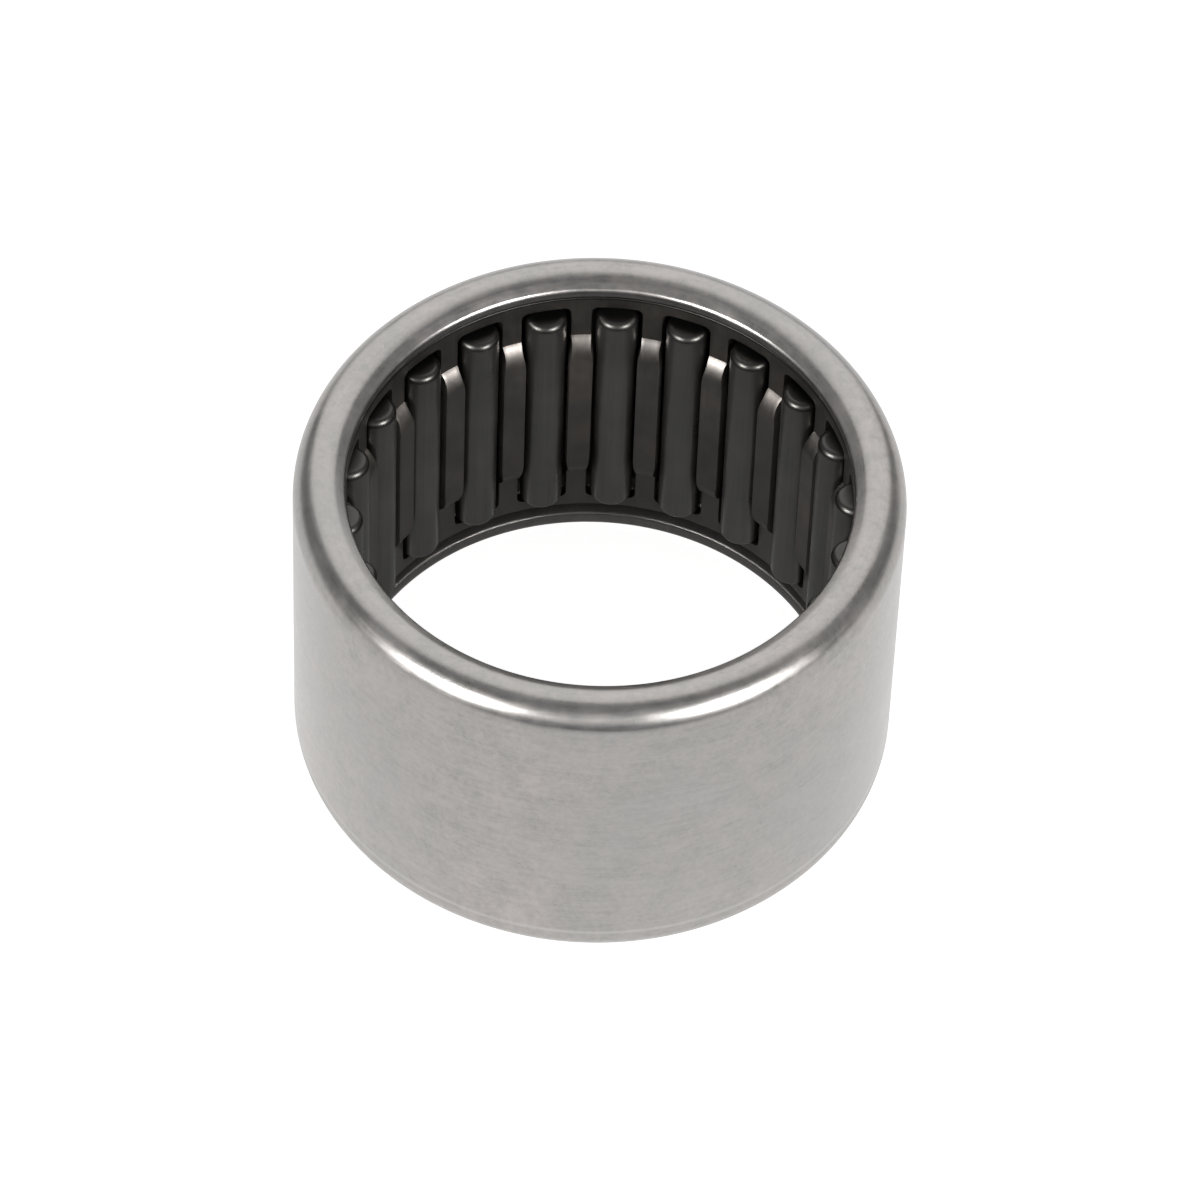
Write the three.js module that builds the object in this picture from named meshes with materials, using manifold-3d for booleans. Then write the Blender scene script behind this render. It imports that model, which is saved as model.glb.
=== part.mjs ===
// Drawn-cup needle roller bearing, open at both ends: a one-piece cup with turned-in lips, a pressed
// sheet cage and 22 loose needles. 40 mm outside, 25 mm wide, for a shaft of about 31 mm.
// Millimetres. The bearing axis is +Z and the origin is the centre of the lower end face.

import * as THREE from 'three';
import { mergeVertices } from 'three/addons/utils/BufferGeometryUtils.js';
import Module from 'manifold-3d';

const wasm = await Module();
wasm.setup();

// ---------------------------------------------------------------- driving dimensions

const WIDTH = 25;                // overall width of the cup
const OUTER_RADIUS = 20;         // housing bore radius
const NEEDLE_COUNT = 22;
const NEEDLE_RADIUS = 1.425;
const NEEDLE_LENGTH = 18.9;
const SHAFT_RADIUS = 15.425;     // circle inscribed by the needles
const NEEDLE_LIFT = 0.15;        // needles float in their windows; here they sit a little high
const NEEDLE_EDGE = 0.45;        // rounded end corner, as a chamfer
const RUNNING_CLEARANCE = 0.06;  // race to needle

const LIP_RADIUS = 16.55;
const UPPER_LIP_THICKNESS = 1.2;
const LOWER_LIP_THICKNESS = 1.1;
const UPPER_LIP_EDGE = 0.9;      // rolled outer corner of the upper lip, measured along the axis
const UPPER_LIP_SPREAD = 1.17;   // how much wider that corner is than it is high
const UPPER_LIP_INNER_EDGE = 0.15;
const LOWER_LIP_EDGE = 0.25;     // both corners of the lower lip
const CUP_FILLET = 1.9;          // outer corner of the cup
const RACE_CORNER = 0.3;         // inside corner where the race meets the lip

const SHEET = 0.7;               // cage sheet thickness
const CAGE_HALF_LENGTH = 10.8;
const CAGE_LIFT = 0.35;          // the cage floats between the lips; here it sits high
const CAGE_RIM_RADIUS = 16.6;    // inner surface of rims and bar ends
const CAGE_WAIST_RADIUS = 15.8;  // inner surface of the bars' middle
const RIM_WIDTH = 0.95;
const RIM_CORNER = 7.1;          // from the cage's middle to where the sheet bends in from the rim
const RIM_BEND = 50;             // degrees
const WINDOW_END_WIDTH = 3.4;    // window width past the bar ends
const WINDOW_WAIST_WIDTH = 2.82; // narrower than a needle, so it holds the needle
const WINDOW_CORNER = 0.5;
const SHOULDER_START = 5.4;      // from the cage's middle: where a bar starts to narrow
const SHOULDER_END = 6.5;        // and where it is narrow

const CUP_SEGMENTS = 72;
const CAGE_SEGMENTS = 3 * NEEDLE_COUNT;
const NEEDLE_SEGMENTS = 16;
const CUP_FILLET_STEPS = 4;
const LIP_EDGE_STEPS = 3;
const NOSE_STEPS = 3;
const CORNER_STEPS = 2;          // on small roundings

const MID_WIDTH = WIDTH / 2;
const PITCH_RADIUS = SHAFT_RADIUS + NEEDLE_RADIUS;
const RACE_RADIUS = PITCH_RADIUS + NEEDLE_RADIUS + RUNNING_CLEARANCE;
const WINDOW_HALF_LENGTH = CAGE_HALF_LENGTH - RIM_WIDTH;
const PITCH_ANGLE = 2 * Math.PI / NEEDLE_COUNT;
const FIRST_NEEDLE_ANGLE = Math.PI / 2;   // needle_01 lies on +Y

// ---------------------------------------------------------------- materials

const steel = (color, roughness) => new THREE.MeshStandardMaterial({ color, roughness, metalness: 1 });
const CUP_STEEL = () => steel(0xa9a7a3, 0.38);
const CAGE_STEEL = () => steel(0x77726d, 0.5);
const NEEDLE_STEEL = () => steel(0x8b8b89, 0.22);

// ---------------------------------------------------------------- helpers

// Points of an arc about (r, z), from one angle to another, in degrees. Spread widens it in r.
function arc(r, z, radius, from, to, steps, spread = 1) {
  const points = [];
  for (let i = 0; i <= steps; i += 1) {
    const a = THREE.MathUtils.degToRad(from + (to - from) * i / steps);
    points.push([r + spread * radius * Math.cos(a), z + radius * Math.sin(a)]);
  }
  return points;
}

// The mirror image of a half outline below its middle, in the order that carries the outline on.
function mirrored(upper) {
  return upper.map(([r, z]) => [r, -z]).reverse();
}

// A section's outline with its first point repeated at the end.
function closed(outline) {
  return [...outline, outline[0]];
}

// A profile of [radius, height] points turned about +Z. Heights are measured from mid-width.
function turned(profile, segments) {
  const points = profile.map(([r, z]) => new THREE.Vector2(r, z));
  const geometry = new THREE.LatheGeometry(points, segments);
  geometry.rotateX(Math.PI / 2);
  geometry.translate(0, 0, MID_WIDTH);
  return geometry;
}

function toSolid(geometry) {
  const bare = geometry.clone();
  bare.deleteAttribute('normal');
  bare.deleteAttribute('uv');
  const merged = mergeVertices(bare, 1e-5);
  const vertProperties = new Float32Array(merged.attributes.position.array);
  const triVerts = new Uint32Array(merged.index.array);
  return new wasm.Manifold(new wasm.Mesh({ numProp: 3, vertProperties, triVerts }));
}

function toGeometry(solid) {
  const mesh = solid.getMesh();
  const geometry = new THREE.BufferGeometry();
  geometry.setAttribute('position', new THREE.BufferAttribute(mesh.vertProperties, 3));
  geometry.setIndex(new THREE.BufferAttribute(mesh.triVerts, 1));
  geometry.computeVertexNormals();
  return geometry;
}

// ---------------------------------------------------------------- outer ring

// One closed section: up the outside, round the upper lip, down the race, round the lower lip.
function cupProfile() {
  const end = MID_WIDTH;
  const corner = OUTER_RADIUS - CUP_FILLET;
  const upperInside = end - UPPER_LIP_THICKNESS;
  const lowerInside = LOWER_LIP_THICKNESS - end;
  const upperEdge = LIP_RADIUS + UPPER_LIP_SPREAD * UPPER_LIP_EDGE;
  const lowerEdge = LIP_RADIUS + LOWER_LIP_EDGE;
  return closed([
    ...arc(corner, CUP_FILLET - end, CUP_FILLET, -90, 0, CUP_FILLET_STEPS),
    ...arc(corner, end - CUP_FILLET, CUP_FILLET, 0, 90, CUP_FILLET_STEPS),
    ...arc(upperEdge, end - UPPER_LIP_EDGE, UPPER_LIP_EDGE, 90, 180, LIP_EDGE_STEPS, UPPER_LIP_SPREAD),
    [LIP_RADIUS, upperInside + UPPER_LIP_INNER_EDGE],
    [LIP_RADIUS + UPPER_LIP_INNER_EDGE, upperInside],
    [RACE_RADIUS - RACE_CORNER, upperInside],
    [RACE_RADIUS, upperInside - RACE_CORNER],
    [RACE_RADIUS, lowerInside + RACE_CORNER],
    [RACE_RADIUS - RACE_CORNER, lowerInside],
    [lowerEdge, lowerInside],
    [LIP_RADIUS, lowerInside - LOWER_LIP_EDGE],
    ...arc(lowerEdge, LOWER_LIP_EDGE - end, LOWER_LIP_EDGE, 180, 270, CORNER_STEPS),
  ]);
}

function outerRing() {
  const mesh = new THREE.Mesh(turned(cupProfile(), CUP_SEGMENTS), CUP_STEEL());
  mesh.name = 'outer_ring';
  return mesh;
}

// ---------------------------------------------------------------- cage

// The sheet runs straight along each rim, bends in sharply and curves out again into the bars' middle.
function cageProfile() {
  const drop = CAGE_RIM_RADIUS - CAGE_WAIST_RADIUS;
  const bend = THREE.MathUtils.degToRad(RIM_BEND);
  const nose = drop / (1 - Math.cos(bend));
  const noseRadius = CAGE_WAIST_RADIUS + nose;
  const noseStart = RIM_CORNER - nose * Math.sin(bend);
  const turn = 180 - RIM_BEND;
  const upper = [
    ...arc(noseRadius, noseStart, nose - SHEET, 180, turn, NOSE_STEPS),
    ...arc(CAGE_RIM_RADIUS, RIM_CORNER, SHEET, -RIM_BEND, 0, CORNER_STEPS),
    [CAGE_RIM_RADIUS + SHEET, CAGE_HALF_LENGTH],
    [CAGE_RIM_RADIUS, CAGE_HALF_LENGTH],
    ...arc(noseRadius, noseStart, nose, turn, 180, NOSE_STEPS),
  ];
  return closed([...upper, ...mirrored(upper)]);
}

// Half of the window outline, right of its centre line, from its middle up: [across, along].
function windowSide() {
  const wide = WINDOW_END_WIDTH / 2;
  const narrow = WINDOW_WAIST_WIDTH / 2;
  const step = wide - narrow;
  const length = SHOULDER_END - SHOULDER_START;
  const side = [];
  for (let i = 0; i <= CORNER_STEPS; i += 1) {
    const a = Math.PI / 2 * i / CORNER_STEPS;
    side.push([narrow + step * (1 - Math.cos(a)), SHOULDER_START + length * Math.sin(a)]);
  }
  const end = WINDOW_HALF_LENGTH - WINDOW_CORNER;
  return [...side, ...arc(wide - WINDOW_CORNER, end, WINDOW_CORNER, 0, 90, CORNER_STEPS)];
}

// A cutter for one window at +X: the outline pushed outwards through the sheet.
function windowCutter() {
  const side = windowSide();
  const right = [...mirrored(side), ...side];
  const left = right.map(([u, v]) => [-u, v]).reverse();
  const shape = new THREE.Shape([...right, ...left].map(([u, v]) => new THREE.Vector2(u, v)));
  const depth = RACE_RADIUS - SHAFT_RADIUS;
  const prism = new THREE.ExtrudeGeometry(shape, { depth, bevelEnabled: false });
  prism.rotateX(Math.PI / 2);
  prism.rotateZ(Math.PI / 2);
  prism.translate(SHAFT_RADIUS, 0, MID_WIDTH);
  return toSolid(prism);
}

function cage() {
  let solid = toSolid(turned(cageProfile(), CAGE_SEGMENTS));
  const cutter = windowCutter();
  for (let i = 0; i < NEEDLE_COUNT; i += 1) {
    const angle = FIRST_NEEDLE_ANGLE + i * PITCH_ANGLE;
    solid = solid.subtract(cutter.rotate([0, 0, THREE.MathUtils.radToDeg(angle)]));
  }
  const mesh = new THREE.Mesh(toGeometry(solid), CAGE_STEEL());
  mesh.name = 'cage';
  mesh.position.z = CAGE_LIFT;
  return mesh;
}

// ---------------------------------------------------------------- needles

function needleProfile() {
  const end = NEEDLE_LENGTH / 2;
  const upper = [
    [NEEDLE_RADIUS, end - NEEDLE_EDGE],
    [NEEDLE_RADIUS - NEEDLE_EDGE, end],
    [0, end],
  ];
  return [...mirrored(upper), ...upper];
}

function needle(index) {
  const angle = FIRST_NEEDLE_ANGLE + index * PITCH_ANGLE;
  const mesh = new THREE.Mesh(turned(needleProfile(), NEEDLE_SEGMENTS), NEEDLE_STEEL());
  mesh.name = `needle_${String(index + 1).padStart(2, '0')}`;
  mesh.position.set(PITCH_RADIUS * Math.cos(angle), PITCH_RADIUS * Math.sin(angle), NEEDLE_LIFT);
  mesh.rotation.z = angle;
  return mesh;
}

// ---------------------------------------------------------------- assembly

const bearing = new THREE.Group();
bearing.add(outerRing());
bearing.add(cage());
for (let i = 0; i < NEEDLE_COUNT; i += 1) {
  bearing.add(needle(i));
}

export default bearing;
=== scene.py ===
"""Looks for a drawn-cup needle roller bearing standing on its end face.

The cup, the cage and every needle are modelled here at full detail around the fixed frame. Metres,
+Z along the bearing's axis, origin at the centre of the lower end face.
"""

import math

import bpy
from mathutils import Euler, Matrix, Vector


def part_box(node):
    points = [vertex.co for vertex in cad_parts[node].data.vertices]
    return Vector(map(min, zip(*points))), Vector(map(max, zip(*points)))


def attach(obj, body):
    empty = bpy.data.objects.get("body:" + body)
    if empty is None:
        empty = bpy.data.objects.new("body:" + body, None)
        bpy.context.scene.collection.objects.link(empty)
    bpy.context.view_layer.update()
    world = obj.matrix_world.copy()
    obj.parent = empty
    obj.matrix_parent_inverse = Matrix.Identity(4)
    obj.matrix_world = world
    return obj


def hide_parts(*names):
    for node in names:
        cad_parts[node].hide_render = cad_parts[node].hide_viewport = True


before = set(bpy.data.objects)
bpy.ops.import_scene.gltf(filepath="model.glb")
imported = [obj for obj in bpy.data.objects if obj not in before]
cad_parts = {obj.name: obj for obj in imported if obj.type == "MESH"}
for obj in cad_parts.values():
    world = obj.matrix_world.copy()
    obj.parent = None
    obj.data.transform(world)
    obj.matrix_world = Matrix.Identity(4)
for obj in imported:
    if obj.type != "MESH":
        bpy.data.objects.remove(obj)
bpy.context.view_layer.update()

MM = 0.001
MERGE = 1e-6                        # points nearer than this are one point

# ---------------------------------------------------------------- sizes, from the frame

RING_LOW, RING_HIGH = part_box("outer_ring")
CAGE_LOW, CAGE_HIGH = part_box("cage")
NEEDLE_LOW, NEEDLE_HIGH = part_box("needle_01")
NEEDLE_COUNT = sum(name.startswith("needle_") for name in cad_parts)

WIDTH = RING_HIGH.z - RING_LOW.z
MID = WIDTH / 2
OUTER_RADIUS = RING_HIGH.x
NEEDLE_RADIUS = (NEEDLE_HIGH.y - NEEDLE_LOW.y) / 2
PITCH_RADIUS = (NEEDLE_HIGH.y + NEEDLE_LOW.y) / 2
NEEDLE_MIDDLE = (NEEDLE_HIGH.z + NEEDLE_LOW.z) / 2
NEEDLE_LENGTH = NEEDLE_HIGH.z - NEEDLE_LOW.z
CAGE_HALF = (CAGE_HIGH.z - CAGE_LOW.z) / 2
CAGE_MID = (CAGE_HIGH.z + CAGE_LOW.z) / 2
PITCH_ANGLE = 2 * math.pi / NEEDLE_COUNT

# cup section
RACE_RADIUS = 18.335 * MM
LIP_RADIUS = 16.55 * MM
UPPER_LIP_THICKNESS = 1.2 * MM
LOWER_LIP_THICKNESS = 1.1 * MM
UPPER_LIP_SLOPE = 1.05 * MM         # radial width of the slope on top of the upper lip
UPPER_LIP_DROP = 0.62 * MM          # and how far it falls towards the bore
UPPER_LIP_BEND = 0.48 * MM          # reach of the curve where the slope starts
UPPER_LIP_EDGE = 0.22 * MM          # and of the one at its cut edge
UPPER_LIP_INNER_EDGE = 0.08 * MM
LOWER_LIP_EDGE = 0.25 * MM          # both corners of the lower lip
CUP_FILLET = 1.9 * MM               # outer corner of the cup
RACE_CORNER = 0.3 * MM
CREASE_HIGHLIGHT_HEIGHT = 2.4 * MM             # height of the painted highlight line drawn round the foot of the wall, at a crease
LEDGE_REACH = 0.02 * MM             # how near the lower lip's top face its oiled look reaches
MASK_MARGIN = 0.05 * MM             # how far the race's painted shade runs past the race

# cage section, with heights from the cage's own middle
SHEET = 0.7 * MM
RIM_RADIUS = 16.6 * MM              # inner surface of rims and bar ends
WAIST_RADIUS = 15.8 * MM            # inner surface of the bars' middle
WAIST_HALF = 6.43 * MM              # where the bars' middle and the incline would meet in a sharp corner
INCLINE = 0.67 * MM                 # axial length of the incline
RIM_WIDTH = 0.95 * MM
NOSE_INSIDE = 1.0 * MM              # how far the curve of the nose reaches along the sheet
NOSE_OUTSIDE = 0.7 * MM
HOLLOW_INSIDE = 0.04 * MM           # the same for the bend by the rim
HOLLOW_OUTSIDE = 0.32 * MM
SHEET_EDGE = 0.12 * MM

# cage windows
WINDOW_END_WIDTH = 3.4 * MM
WINDOW_WAIST_WIDTH = 2.98 * MM
WINDOW_CORNER = 0.5 * MM
SHOULDER_START = 5.4 * MM
SHOULDER_END = 6.5 * MM
SHOULDER_NARROW_CORNER = 0.55 * MM  # reach of the roundings at a shoulder's two ends
SHOULDER_WIDE_CORNER = 0.35 * MM
WINDOW_EDGE = 0.09 * MM             # rounding on the window's pressed edges
CUTTER_START = 15 * MM              # radius where the window cutter begins
CUTTER_DEPTH = 4 * MM

NEEDLE_EDGE = 0.5 * MM              # rounded end corner of a needle
NEEDLE_BACK_SHADE_START = 16.3 * MM       # radii between which painted shade darkens a needle towards its back
NEEDLE_BACK_SHADE_END = 16.8 * MM
FIRST_NEEDLE = math.pi / 2          # needle_01 lies on +Y

# camera: a long lens looking down into the bore
LENS = 238.0
CAMERA_DISTANCE = 0.5248
CAMERA_HEIGHT = 51.37               # degrees above the horizon
CAMERA_TURN = math.radians(2.37)    # anticlockwise from -Y, seen from above
CAMERA_ROLL = 2.3                   # degrees
AIM_RIGHT = 0.275 * MM
AIM_AWAY = -0.13 * MM

# studio
ROOM = 0.28                         # brightness of the room
FLOOR_GLOW = 0.9
FLOOR_GAP = 0.02 * MM
SOFTBOX_TURN = 46                   # degrees of the front softboxes to either side of the camera
SOFTBOX_HEIGHT = 30                 # degrees above the horizon
SOFTBOX_GLOW = 30
SURROUND_RADIUS = 0.17
SURROUND_HEIGHT = 0.045
SURROUND_END = -0.55 * SURROUND_RADIUS   # the dark band lies before this place along Y
BORE_SHADE = 0.135                  # brightness of the shaded table inside the bore, as the steel sees it


# ---------------------------------------------------------------- modelling helpers


def deselect():
    """Back to object mode with nothing selected."""
    if bpy.context.mode != "OBJECT":
        bpy.ops.object.mode_set(mode="OBJECT")
    bpy.ops.object.select_all(action="DESELECT")


def take(piece):
    """Make the piece the only selected and the active object."""
    deselect()
    piece.select_set(True)
    bpy.context.view_layer.objects.active = piece


def pick(piece, kind, test):
    """In edit mode, select the piece's vertices, edges or faces whose middle passes the test."""
    take(piece)
    bpy.ops.object.mode_set(mode="EDIT")
    bpy.ops.mesh.select_mode(type=kind)
    bpy.ops.mesh.select_all(action="DESELECT")
    bpy.ops.object.mode_set(mode="OBJECT")
    mesh = piece.data
    if kind == "VERT":
        for vertex in mesh.vertices:
            vertex.select = test(vertex.co)
    elif kind == "EDGE":
        for edge in mesh.edges:
            a, b = (mesh.vertices[i].co for i in edge.vertices)
            edge.select = test((a + b) / 2)
    else:
        for face in mesh.polygons:
            face.select = test(face.center)
    bpy.ops.object.mode_set(mode="EDIT")


def pick_all(piece, kind="VERT"):
    take(piece)
    bpy.ops.object.mode_set(mode="EDIT")
    bpy.ops.mesh.select_mode(type=kind)
    bpy.ops.mesh.select_all(action="SELECT")


def section_plate(name, inner, outer, low, high):
    """A flat plate standing on the XZ plane, between two radii and two heights."""
    deselect()
    bpy.ops.mesh.primitive_plane_add(size=1, rotation=(math.pi / 2, 0, 0))
    plate = bpy.context.active_object
    plate.name = name
    plate.scale = (outer - inner, high - low, 1)
    plate.location = ((inner + outer) / 2, 0, (low + high) / 2)
    bpy.ops.object.transform_apply(location=True, rotation=True, scale=True)
    return plate


def cut_across(piece, point, normal):
    """Cut all of the piece's faces along a plane, keeping both sides."""
    pick_all(piece)
    bpy.ops.mesh.bisect(plane_co=point, plane_no=normal, threshold=MERGE)


def remove_faces(piece, test):
    pick(piece, "FACE", test)
    bpy.ops.mesh.delete(type="FACE")


def one_outline(piece):
    """Join a flat piece's faces into one, and drop the points along its straight edges."""
    pick_all(piece, "FACE")
    bpy.ops.mesh.dissolve_limited(angle_limit=math.radians(1))


def round_points(piece, radius, steps, test):
    """Round the corners of a flat outline."""
    pick(piece, "VERT", test)
    bpy.ops.mesh.bevel(offset=radius, segments=steps, affect="VERTICES", profile=0.5)


def near(value, target):
    return abs(value - target) < 5 * MERGE


def clean(piece):
    """Merge what coincides and turn every face outwards."""
    pick_all(piece)
    bpy.ops.mesh.remove_doubles(threshold=MERGE)
    bpy.ops.mesh.normals_make_consistent(inside=False)
    bpy.ops.object.mode_set(mode="OBJECT")


def smooth(piece, angle=30):
    take(piece)
    bpy.ops.object.shade_smooth_by_angle(angle=math.radians(angle))


def apply_modifier(piece, modifier):
    take(piece)
    bpy.ops.object.modifier_apply(modifier=modifier.name)


def turn_about_axis(piece, angle):
    """Turn a piece about the bearing's axis and keep its place in its mesh."""
    take(piece)
    piece.rotation_euler = Euler((0, 0, angle))
    bpy.ops.object.transform_apply(location=True, rotation=True, scale=True)


def cut_away(piece, cutter):
    """Take the cutter's volume out of the piece."""
    modifier = piece.modifiers.new("cut", "BOOLEAN")
    modifier.operation = "DIFFERENCE"
    modifier.solver = "EXACT"
    modifier.object = cutter
    apply_modifier(piece, modifier)


# ---------------------------------------------------------------- materials


class Surface:
    """A material's node tree, with short names for the nodes that steel finishes need."""

    def __init__(self, name, colour, roughness):
        self.material = bpy.data.materials.new(name)
        self.material.use_nodes = True
        self.tree = self.material.node_tree
        self.shader = self.tree.nodes["Principled BSDF"]
        self.shader.inputs["Metallic"].default_value = 1.0
        self.shader.inputs["Base Color"].default_value = (*colour, 1)
        self.shader.inputs["Roughness"].default_value = roughness
        self.place = self.add("ShaderNodeTexCoord").outputs["Object"]

    def add(self, kind, **settings):
        node = self.tree.nodes.new(kind)
        for key, value in settings.items():
            setattr(node, key, value)
        return node

    def link(self, source, target):
        self.tree.links.new(source, target)

    def maths(self, operation, a, b=None):
        node = self.add("ShaderNodeMath", operation=operation)
        for socket, value in zip(node.inputs, (a, b)):
            if isinstance(value, (int, float)):
                socket.default_value = value
            elif value is not None:
                self.link(value, socket)
        return node.outputs[0]

    def stretched(self, scale):
        node = self.add("ShaderNodeMapping")
        node.inputs["Scale"].default_value = scale
        self.link(self.place, node.inputs["Vector"])
        return node.outputs[0]

    def turned(self, around, along):
        """Coordinates for marks that run round the axis: slow around it, fast in radius and height."""
        split = self.add("ShaderNodeSeparateXYZ")
        self.link(self.place, split.inputs[0])
        x, y, z = split.outputs
        radius = self.maths("SQRT", self.maths("ADD", self.maths("MULTIPLY", x, x),
                                               self.maths("MULTIPLY", y, y)))
        join = self.add("ShaderNodeCombineXYZ")
        self.link(self.maths("MULTIPLY", self.maths("DIVIDE", x, radius), around), join.inputs[0])
        self.link(self.maths("MULTIPLY", self.maths("DIVIDE", y, radius), around), join.inputs[1])
        self.link(self.maths("MULTIPLY", z, along), join.inputs[2])
        return join.outputs[0], self.maths("MULTIPLY", radius, along)

    def height(self):
        """Height above the lower end face."""
        split = self.add("ShaderNodeSeparateXYZ")
        self.link(self.place, split.inputs[0])
        return split.outputs[2]

    def radius(self):
        """Distance from the bearing's axis."""
        flat = self.add("ShaderNodeVectorMath", operation="LENGTH")
        self.link(self.stretched((1, 1, 0)), flat.inputs[0])
        return flat.outputs["Value"]

    def noise(self, vector, scale, detail=3, w=None, roughness=0.5):
        node = self.add("ShaderNodeTexNoise", noise_dimensions="3D" if w is None else "4D")
        node.inputs["Scale"].default_value = scale
        node.inputs["Detail"].default_value = detail
        node.inputs["Roughness"].default_value = roughness
        self.link(vector, node.inputs["Vector"])
        if w is not None:
            self.link(w, node.inputs["W"])
        return node.outputs[0]

    def spread(self, value, low, high, start=0.3, end=0.7):
        """Map a noise value onto a range."""
        node = self.add("ShaderNodeMapRange")
        node.inputs["From Min"].default_value = start
        node.inputs["From Max"].default_value = end
        node.inputs["To Min"].default_value = low
        node.inputs["To Max"].default_value = high
        self.link(value, node.inputs["Value"])
        return node.outputs[0]

    def tint(self, factor, first, second):
        """Blend between two colours."""
        node = self.add("ShaderNodeMix", data_type="RGBA")
        self.link(factor, node.inputs["Factor"])
        for name, colour in (("A", first), ("B", second)):
            socket = [s for s in node.inputs if s.name == name and s.type == "RGBA"][0]
            if isinstance(colour, tuple):
                socket.default_value = (*colour, 1)
            else:
                self.link(colour, socket)
        return [s for s in node.outputs if s.type == "RGBA"][0]

    def bump(self, height, depth, normal=None):
        node = self.add("ShaderNodeBump")
        node.inputs["Distance"].default_value = depth
        self.link(height, node.inputs["Height"])
        if normal is not None:
            self.link(normal, node.inputs["Normal"])
        return node.outputs[0]

    def finish(self, colour, roughness, normal):
        self.link(colour, self.shader.inputs["Base Color"])
        self.link(roughness, self.shader.inputs["Roughness"])
        self.link(normal, self.shader.inputs["Normal"])
        return self.material


def cup_steel():
    """Satin hardened sheet: faint stains, drawing marks round the axis, a painted highlight line at a
    crease round the foot, painted shade on the race, and an oiled ledge on top of the lower lip.
    """
    s = Surface("cup_satin_steel", (0.34, 0.33, 0.315), 0.29)
    blotch = s.noise(s.place, 420, detail=8, roughness=0.72)
    cloud = s.noise(s.place, 60, detail=3)
    around, radial = s.turned(1.2, 900)
    lines = s.noise(around, 3.0, detail=4, w=radial, roughness=0.7)
    grain = s.noise(s.place, 5200, detail=2)
    speckle = s.noise(s.place, 2300, detail=4, roughness=0.7)
    stain = s.maths("ADD", s.maths("MULTIPLY", blotch, 0.55), s.maths("MULTIPLY", speckle, 0.45))
    warm = s.tint(s.spread(stain, 0, 1, 0.39, 0.61), (0.252, 0.247, 0.229), (0.378, 0.345, 0.336))
    cool = s.tint(s.spread(cloud, 0, 0.6), warm, (0.288, 0.288, 0.284))
    streaked = s.tint(s.spread(lines, 0, 0.36), cool, (0.42, 0.41, 0.40))
    # painted highlight: a lighter line round the foot of the wall, where a crease would catch the light
    crease = s.maths("ABSOLUTE", s.maths("SUBTRACT", s.height(), CREASE_HIGHLIGHT_HEIGHT))
    lined = s.tint(s.spread(crease, 0.32, 0, 0.05 * MM, 0.22 * MM), streaked, (0.52, 0.51, 0.50))
    # painted shade: the race between the lips is drawn dark, standing in for the shadow behind cage and
    # needles
    inside = s.maths("LESS_THAN", s.radius(), RACE_RADIUS + MASK_MARGIN)
    below = s.maths("LESS_THAN", s.height(), WIDTH - UPPER_LIP_THICKNESS + MASK_MARGIN)
    above = s.maths("GREATER_THAN", s.height(), CAGE_LOW.z)
    race = s.maths("MULTIPLY", inside, s.maths("MULTIPLY", below, above))
    ledge = s.maths("COMPARE", s.height(), LOWER_LIP_THICKNESS)
    ledge.node.inputs[2].default_value = LEDGE_REACH
    oiled = s.maths("MULTIPLY", inside, ledge)
    s.link(s.maths("SUBTRACT", 1, s.maths("MULTIPLY", oiled, 0.85)), s.shader.inputs["Metallic"])
    colour = s.tint(race, lined, (0.07, 0.066, 0.06))
    rough = s.maths("ADD", s.spread(blotch, 0.27, 0.35), s.spread(lines, -0.04, 0.04))
    fine = s.bump(grain, 0.0000012)
    marks = s.bump(lines, 0.000005, fine)
    return s.finish(colour, rough, marks)


def cage_steel():
    """Dull pressed sheet, a little brown, painted shade on the upper rim and top end, faint marks along
    the axis.
    """
    s = Surface("cage_dull_steel", (0.175, 0.162, 0.151), 0.42)
    blotch = s.noise(s.place, 260, detail=4, roughness=0.6)
    lines = s.noise(s.stretched((1, 1, 0.05)), 5000, detail=2)
    grain = s.noise(s.place, 7000, detail=2)
    brown = s.tint(s.spread(blotch, 0, 1), (0.15, 0.145, 0.136), (0.2, 0.179, 0.166))
    rim = CAGE_MID + WAIST_HALF + INCLINE
    # painted shade: the upper rim darkens where it sits under the cup's upper lip
    upper_rim_shade = s.spread(s.height(), 0, 0.45, rim - 0.2 * MM, rim + 0.1 * MM)
    rim_shaded = s.tint(upper_rim_shade, brown, (0.06, 0.054, 0.048))
    # painted shade: the cage's top end is drawn near black, in the gap under the cup's lip
    top_end_shade = s.spread(s.height(), 0, 0.9, CAGE_HIGH.z - 0.2 * MM, CAGE_HIGH.z - 0.1 * MM)
    colour = s.tint(top_end_shade, rim_shaded, (0.02, 0.019, 0.018))
    rough = s.maths("ADD", s.spread(blotch, 0.36, 0.46), s.spread(lines, -0.03, 0.03))
    fine = s.bump(grain, 0.0000015)
    marks = s.bump(lines, 0.000002, fine)
    return s.finish(colour, rough, marks)


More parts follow.
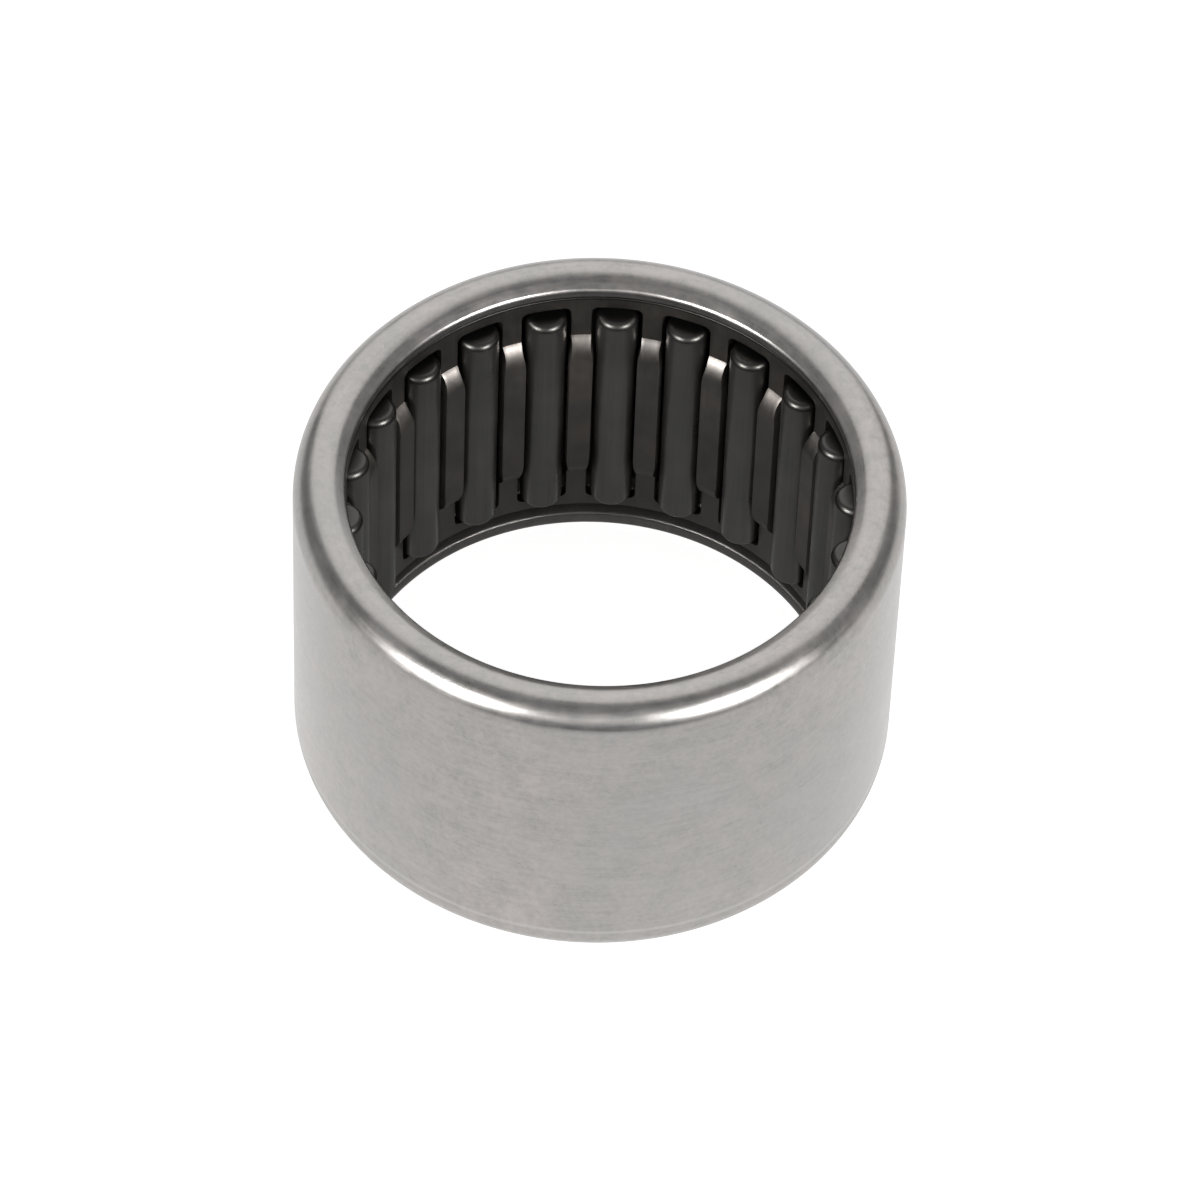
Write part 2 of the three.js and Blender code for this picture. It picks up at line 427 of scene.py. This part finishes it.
def needle_steel():
    """Ground rollers: fine lines along each needle, dark ends, and painted shade on their backs."""
    s = Surface("needle_ground_steel", (0.23, 0.227, 0.218), 0.2)
    cloud = s.noise(s.place, 300, detail=3)
    along = s.noise(s.stretched((1, 1, 0.02)), 3600, detail=3, roughness=0.7)
    end = s.spread(s.height(), 0, 1, NEEDLE_HIGH.z - 0.5 * MM, NEEDLE_HIGH.z - 0.3 * MM)
    side = s.tint(s.spread(cloud, 0, 1), (0.205, 0.205, 0.198), (0.25, 0.243, 0.232))
    lined = s.tint(s.spread(along, 0, 0.4), side, (0.33, 0.32, 0.31))
    # The dark back is painted shade fixed to the needle, so it shows wrongly once the needle has rolled.
    back = s.spread(s.radius(), 0, 0.85, NEEDLE_BACK_SHADE_START, NEEDLE_BACK_SHADE_END)
    back_shaded = s.tint(back, lined, (0.03, 0.028, 0.025))
    colour = s.tint(end, back_shaded, (0.066, 0.064, 0.06))
    rough = s.maths("ADD", s.spread(cloud, 0.27, 0.33), s.maths("MULTIPLY", end, 0.04))
    return s.finish(colour, rough, s.bump(along, 0.000003))


def give(piece, material):
    piece.data.materials.clear()
    piece.data.materials.append(material)


# ---------------------------------------------------------------- the cup


def make_cup():
    """The cup's section, cut from a plate and rounded, then spun round the axis."""
    cup = section_plate("cup", LIP_RADIUS, OUTER_RADIUS, 0, WIDTH)
    cut_across(cup, (RACE_RADIUS, 0, 0), (1, 0, 0))
    lower_inside = LOWER_LIP_THICKNESS
    upper_inside = WIDTH - UPPER_LIP_THICKNESS
    cut_across(cup, (0, 0, lower_inside), (0, 0, 1))
    cut_across(cup, (0, 0, upper_inside), (0, 0, 1))
    remove_faces(cup, lambda c: c.x < RACE_RADIUS and lower_inside < c.z < upper_inside)
    slope_start = LIP_RADIUS + UPPER_LIP_SLOPE
    cut_across(cup, (slope_start, 0, 0), (1, 0, 0))
    pick(cup, "VERT", lambda c: near(c.x, LIP_RADIUS) and near(c.z, WIDTH))
    bpy.ops.transform.translate(value=(0, 0, -UPPER_LIP_DROP))
    one_outline(cup)
    round_points(cup, CUP_FILLET, 18, lambda c: near(c.x, OUTER_RADIUS))
    round_points(cup, RACE_CORNER, 5, lambda c: near(c.x, RACE_RADIUS))
    round_points(cup, LOWER_LIP_EDGE, 6, lambda c: near(c.x, LIP_RADIUS) and c.z < MID)
    round_points(cup, UPPER_LIP_INNER_EDGE, 5, lambda c: near(c.x, LIP_RADIUS) and near(c.z, upper_inside))
    round_points(cup, UPPER_LIP_BEND, 8, lambda c: near(c.x, slope_start) and near(c.z, WIDTH))
    round_points(cup, UPPER_LIP_EDGE, 9,
                 lambda c: near(c.x, LIP_RADIUS) and near(c.z, WIDTH - UPPER_LIP_DROP))
    pick_all(cup, "FACE")
    bpy.ops.mesh.delete(type="ONLY_FACE")
    pick_all(cup, "EDGE")
    bpy.ops.mesh.spin(steps=264, angle=2 * math.pi, center=(0, 0, 0), axis=(0, 0, 1))
    clean(cup)
    smooth(cup)
    give(cup, cup_steel())
    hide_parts("outer_ring")
    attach(cup, "outer_ring")
    return cup


# ---------------------------------------------------------------- the cage


def cage_section():
    """The sheet's section: a straight strip, its middle pushed in, every bend and edge rounded."""
    low, high = CAGE_MID - CAGE_HALF, CAGE_MID + CAGE_HALF
    strip = section_plate("cage_body", RIM_RADIUS, RIM_RADIUS + SHEET, low, high)
    rim_corner = WAIST_HALF + INCLINE
    for height in (-rim_corner, -WAIST_HALF, WAIST_HALF, rim_corner):
        cut_across(strip, (0, 0, CAGE_MID + height), (0, 0, 1))
    drop = RIM_RADIUS - WAIST_RADIUS
    bend = SHEET * (math.hypot(drop, INCLINE) - INCLINE) / drop
    outside = RIM_RADIUS + SHEET / 2
    for side in (-1, 1):
        pick(strip, "VERT", lambda c: c.x > outside and near((c.z - CAGE_MID) * side, rim_corner)
             or c.x > outside and near((c.z - CAGE_MID) * side, WAIST_HALF))
        bpy.ops.transform.translate(value=(0, 0, -side * bend))
    pick(strip, "VERT", lambda c: abs(c.z - CAGE_MID) < WAIST_HALF + 5 * MERGE
         and not (c.x > outside and near(abs(c.z - CAGE_MID), rim_corner - bend)))
    bpy.ops.transform.translate(value=(-drop, 0, 0))
    one_outline(strip)
    at_bend = WAIST_HALF + 2 * INCLINE
    round_points(strip, SHEET_EDGE, 3, lambda c: near(abs(c.z - CAGE_MID), CAGE_HALF))
    round_points(strip, NOSE_INSIDE, 12, lambda c: near(c.x, WAIST_RADIUS))
    round_points(strip, NOSE_OUTSIDE, 8, lambda c: near(c.x, WAIST_RADIUS + SHEET))
    round_points(strip, HOLLOW_INSIDE, 2,
                 lambda c: near(c.x, RIM_RADIUS) and abs(c.z - CAGE_MID) < at_bend)
    round_points(strip, HOLLOW_OUTSIDE, 6,
                 lambda c: near(c.x, RIM_RADIUS + SHEET) and abs(c.z - CAGE_MID) < at_bend)
    return strip


def window_cutter():
    """One window's outline, pushed through the sheet at +X."""
    half = CAGE_HALF - RIM_WIDTH
    wide = WINDOW_END_WIDTH / 2
    narrow = WINDOW_WAIST_WIDTH / 2
    plate = section_plate("window_cutter", -wide, wide, CAGE_MID - half, CAGE_MID + half)
    step = (SHOULDER_START + SHOULDER_END) / 2
    for across in (-narrow, narrow):
        cut_across(plate, (across, 0, 0), (1, 0, 0))
    for along in (-step, step):
        cut_across(plate, (0, 0, CAGE_MID + along), (0, 0, 1))
    remove_faces(plate, lambda c: abs(c.x) > narrow and abs(c.z - CAGE_MID) < step)
    one_outline(plate)
    lean = (SHOULDER_END - SHOULDER_START) / 2
    for side in (-1, 1):
        pick(plate, "VERT", lambda c: near((c.z - CAGE_MID) * side, step) and near(abs(c.x), narrow))
        bpy.ops.transform.translate(value=(0, 0, -side * lean))
        pick(plate, "VERT", lambda c: near((c.z - CAGE_MID) * side, step) and near(abs(c.x), wide))
        bpy.ops.transform.translate(value=(0, 0, side * lean))
    round_points(plate, WINDOW_CORNER, 7, lambda c: near(abs(c.z - CAGE_MID), half))
    round_points(plate, SHOULDER_NARROW_CORNER, 6, lambda c: near(abs(c.x), narrow))
    round_points(plate, SHOULDER_WIDE_CORNER, 5,
                 lambda c: near(abs(c.x), wide) and near(abs(c.z - CAGE_MID), SHOULDER_END))
    pick_all(plate, "FACE")
    bpy.ops.mesh.extrude_region_move(TRANSFORM_OT_translate={"value": (0, CUTTER_DEPTH, 0)})
    bpy.ops.object.mode_set(mode="OBJECT")
    take(plate)
    plate.location = (CUTTER_START, 0, 0)
    plate.rotation_euler = Euler((0, 0, -math.pi / 2))
    bpy.ops.object.transform_apply(location=True, rotation=True, scale=True)
    clean(plate)
    return plate


def on_cut_end(centre):
    return near(abs(math.atan2(centre.y, centre.x)), PITCH_ANGLE / 2)


def make_cage():
    """One window's share of the cage, cut and rounded, then copied round the axis."""
    body = cage_section()
    turn_about_axis(body, PITCH_ANGLE / 2)
    pick_all(body, "FACE")
    bpy.ops.mesh.spin(steps=12, angle=PITCH_ANGLE, center=(0, 0, 0), axis=(0, 0, 1))
    clean(body)
    cutter = window_cutter()
    cut_away(body, cutter)
    bpy.data.objects.remove(cutter)
    remove_faces(body, on_cut_end)
    bpy.ops.object.mode_set(mode="OBJECT")
    edges = body.modifiers.new("pressed edges", "BEVEL")
    edges.width = WINDOW_EDGE
    edges.segments = 3
    edges.limit_method = "ANGLE"
    edges.angle_limit = math.radians(50)
    apply_modifier(body, edges)
    pick_all(body)
    share = 2 * math.pi - PITCH_ANGLE
    bpy.ops.mesh.spin(steps=NEEDLE_COUNT - 1, angle=share, dupli=True, center=(0, 0, 0), axis=(0, 0, 1))
    clean(body)
    turn_about_axis(body, FIRST_NEEDLE)
    smooth(body, 35)
    give(body, cage_steel())
    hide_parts("cage")
    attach(body, "cage")
    return body


# ---------------------------------------------------------------- the needles


def make_needle(material):
    """A ground roller with flat ends and rounded end corners, at +X."""
    deselect()
    bpy.ops.mesh.primitive_cylinder_add(vertices=80, radius=NEEDLE_RADIUS, depth=NEEDLE_LENGTH,
                                        location=(PITCH_RADIUS, 0, NEEDLE_MIDDLE))
    needle = bpy.context.active_object
    bpy.ops.object.transform_apply(location=True, rotation=True, scale=True)
    half = NEEDLE_LENGTH / 2
    pick(needle, "FACE", lambda c: near(abs(c.z - NEEDLE_MIDDLE), half))
    bpy.ops.mesh.inset(thickness=NEEDLE_RADIUS * 0.5)
    rim = NEEDLE_RADIUS * 0.9
    pick(needle, "EDGE", lambda c: near(abs(c.z - NEEDLE_MIDDLE), half)
         and math.hypot(c.x - PITCH_RADIUS, c.y) > rim)
    bpy.ops.mesh.bevel(offset=NEEDLE_EDGE, segments=9, profile=0.5)
    bpy.ops.object.mode_set(mode="OBJECT")
    smooth(needle, 40)
    give(needle, material)
    return needle


def make_needles():
    """Every needle is a copy of the first, turned about the bearing's axis to its own window."""
    first = make_needle(needle_steel())
    for index in range(NEEDLE_COUNT):
        take(first)
        bpy.ops.object.duplicate()
        needle = bpy.context.active_object
        node = f"needle_{index + 1:02d}"
        needle.name = f"roller_{index + 1:02d}"
        turn_about_axis(needle, FIRST_NEEDLE + index * PITCH_ANGLE)
        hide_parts(node)
        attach(needle, node)
    bpy.data.objects.remove(first)


# ---------------------------------------------------------------- floor, light and camera


def plain_surface(name, shade, glow=0.0):
    """Matt paper or cloth, glowing if it is lit from behind."""
    surface = Surface(name, (shade, shade, shade), 0.9)
    surface.shader.inputs["Metallic"].default_value = 0
    surface.shader.inputs["Specular IOR Level"].default_value = 0.1
    surface.shader.inputs["Emission Color"].default_value = (1, 1, 1, 1)
    surface.shader.inputs["Emission Strength"].default_value = glow
    return surface.material


def make_floor():
    """A white table, lit softly from below."""
    deselect()
    bpy.ops.mesh.primitive_plane_add(size=3, location=(0, 0, -FLOOR_GAP))
    floor = bpy.context.active_object
    floor.name = "floor"
    floor.data.materials.append(plain_surface("white_table", 0.8, FLOOR_GLOW))


def on_sphere(turn, height, distance):
    """A point round the bearing: turn 0 is towards the viewer, positive to the viewer's right."""
    a = math.radians(turn) + CAMERA_TURN
    h = math.radians(height)
    flat = distance * math.cos(h)
    return Vector((flat * math.sin(a), -flat * math.cos(a), MID + distance * math.sin(h)))


def aim(thing, place, target, roll=0.0):
    """Put a light or camera at a place, looking at a target, rolled about its line of sight."""
    direction = target - place
    look = direction.to_track_quat("-Z", "Y").to_matrix().to_4x4()
    thing.matrix_world = Matrix.Translation(place) @ look @ Matrix.Rotation(roll, 4, "Z")


def softbox(name, turn, height, distance, width, depth, brightness):
    """A soft light as bright all over as the number says."""
    light = bpy.data.lights.new(name, "AREA")
    light.shape = "RECTANGLE"
    light.size = width
    light.size_y = depth
    light.energy = brightness * math.pi * width * depth
    lamp = bpy.data.objects.new(name, light)
    lamp.visible_diffuse = False
    bpy.context.scene.collection.objects.link(lamp)
    aim(lamp, on_sphere(turn, height, distance), Vector((0, 0, MID)))
    return lamp


def reflected_only(piece, name, shade, glow=0.0):
    """Make a piece of the set that the steel mirrors, and nothing else sees."""
    piece.name = name
    piece.data.materials.append(plain_surface(name, shade, glow))
    piece.visible_camera = False
    piece.visible_shadow = False
    piece.visible_diffuse = False


def make_surround():
    """A low dark band before the set draws the dark line at the corners, and a disc shades the bore."""
    deselect()
    bpy.ops.mesh.primitive_cylinder_add(vertices=96, radius=SURROUND_RADIUS, depth=SURROUND_HEIGHT,
                                        end_fill_type="NOTHING", location=(0, 0, SURROUND_HEIGHT / 2))
    surround = bpy.context.active_object
    bpy.ops.object.transform_apply(location=True, rotation=True, scale=True)
    remove_faces(surround, lambda c: c.y > SURROUND_END)
    bpy.ops.object.mode_set(mode="OBJECT")
    reflected_only(surround, "dark_surround", 0.06)
    deselect()
    bpy.ops.mesh.primitive_circle_add(vertices=96, radius=LIP_RADIUS - 0.05 * MM, fill_type="NGON",
                                      location=(0, 0, 0.02 * MM))
    reflected_only(bpy.context.active_object, "bore_shade", 0.02, BORE_SHADE)


def make_light():
    world = bpy.data.worlds.new("studio")
    world.use_nodes = True
    world.node_tree.nodes["Background"].inputs["Color"].default_value = (1, 1, 1, 1)
    world.node_tree.nodes["Background"].inputs["Strength"].default_value = ROOM
    bpy.context.scene.world = world
    softbox("front_left", -SOFTBOX_TURN, SOFTBOX_HEIGHT, 0.6, 0.24, 0.20, SOFTBOX_GLOW)
    softbox("front_right", SOFTBOX_TURN, SOFTBOX_HEIGHT, 0.6, 0.24, 0.20, SOFTBOX_GLOW)
    softbox("front_fill", 0, 31, 0.62, 0.30, 0.14, 1.0)
    softbox("back_overhead", 180, 42, 0.7, 1.0, 0.95, 1.2)
    make_surround()


def make_camera():
    data = bpy.data.cameras.new("camera")
    data.sensor_width = 36
    data.lens = LENS
    camera = bpy.data.objects.new("camera", data)
    bpy.context.scene.collection.objects.link(camera)
    place = on_sphere(0, CAMERA_HEIGHT, CAMERA_DISTANCE)
    right = Vector((math.cos(CAMERA_TURN), math.sin(CAMERA_TURN), 0))
    away = Vector((-math.sin(CAMERA_TURN), math.cos(CAMERA_TURN), 0))
    target = Vector((0, 0, MID)) + right * AIM_RIGHT + away * AIM_AWAY
    aim(camera, place, target, math.radians(CAMERA_ROLL))
    bpy.context.scene.camera = camera


make_cup()
make_cage()
make_needles()
make_floor()
make_light()
make_camera()
bpy.context.scene.view_settings.view_transform = "Standard"
